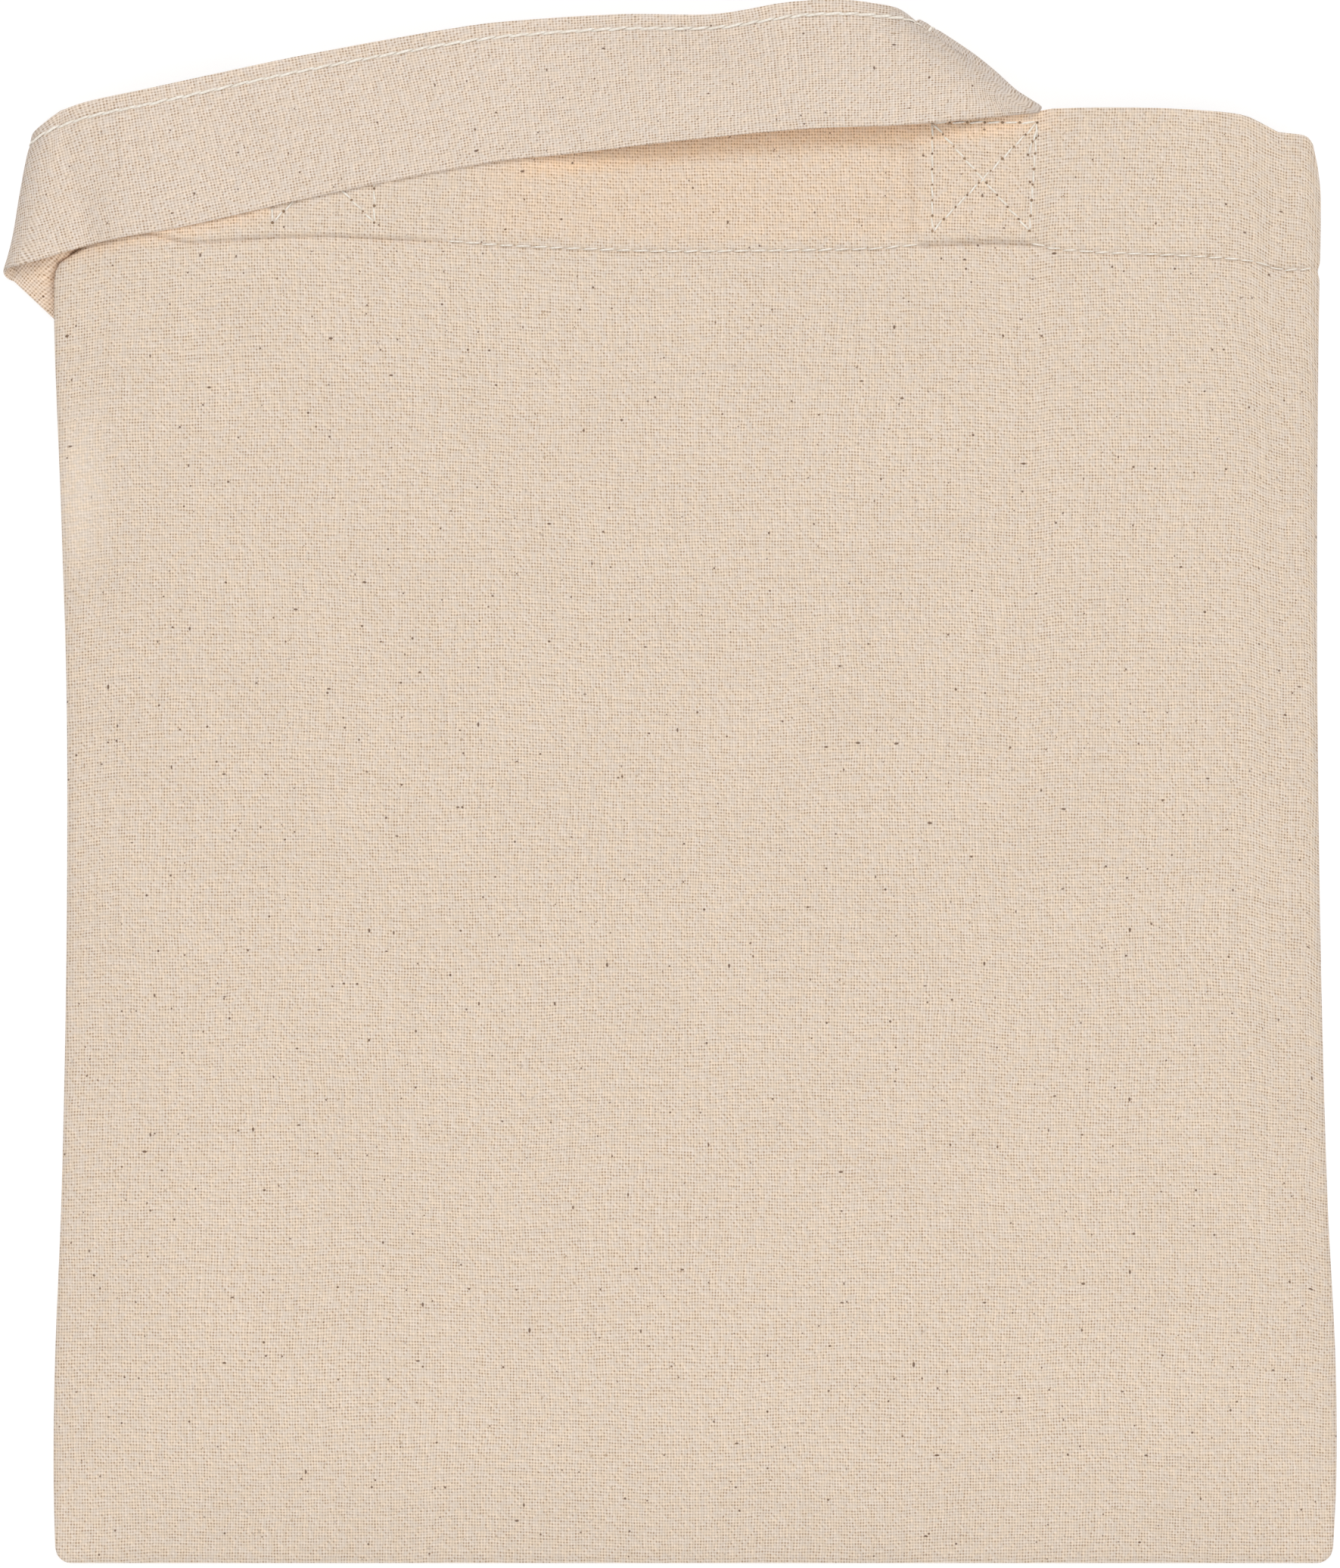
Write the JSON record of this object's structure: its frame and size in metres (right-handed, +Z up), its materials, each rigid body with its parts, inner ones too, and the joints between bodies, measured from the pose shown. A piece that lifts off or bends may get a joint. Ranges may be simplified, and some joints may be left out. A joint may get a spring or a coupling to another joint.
{
  "type": "cotton tote bag",
  "caption": "Small plain cotton tote bag lying flat and empty, an open pocket with a deep top hem and strap handles, the front strap swept over the mouth and round the left edge.",
  "frame": {"origin": "centre of the bounding box, on the surface that the bag lies on", "axes": "+Z up from the surface, out of the front panel; +Y from the bottom fold to the mouth; +X to the right as seen from above"},
  "size_m": [0.2566, 0.2996, 0.0142],
  "materials": {
    "body_cloth": "unbleached plain-weave cotton with small dark seed flecks",
    "strap_cloth": "the same unbleached cotton, folded and stitched along one edge",
    "thread": "off-white sewing thread"
  },
  "bodies": {
    "root": {"bag_body": "body_cloth", "handle_front": "strap_cloth", "handle_back": "strap_cloth"}
  },
  "joints": []
}
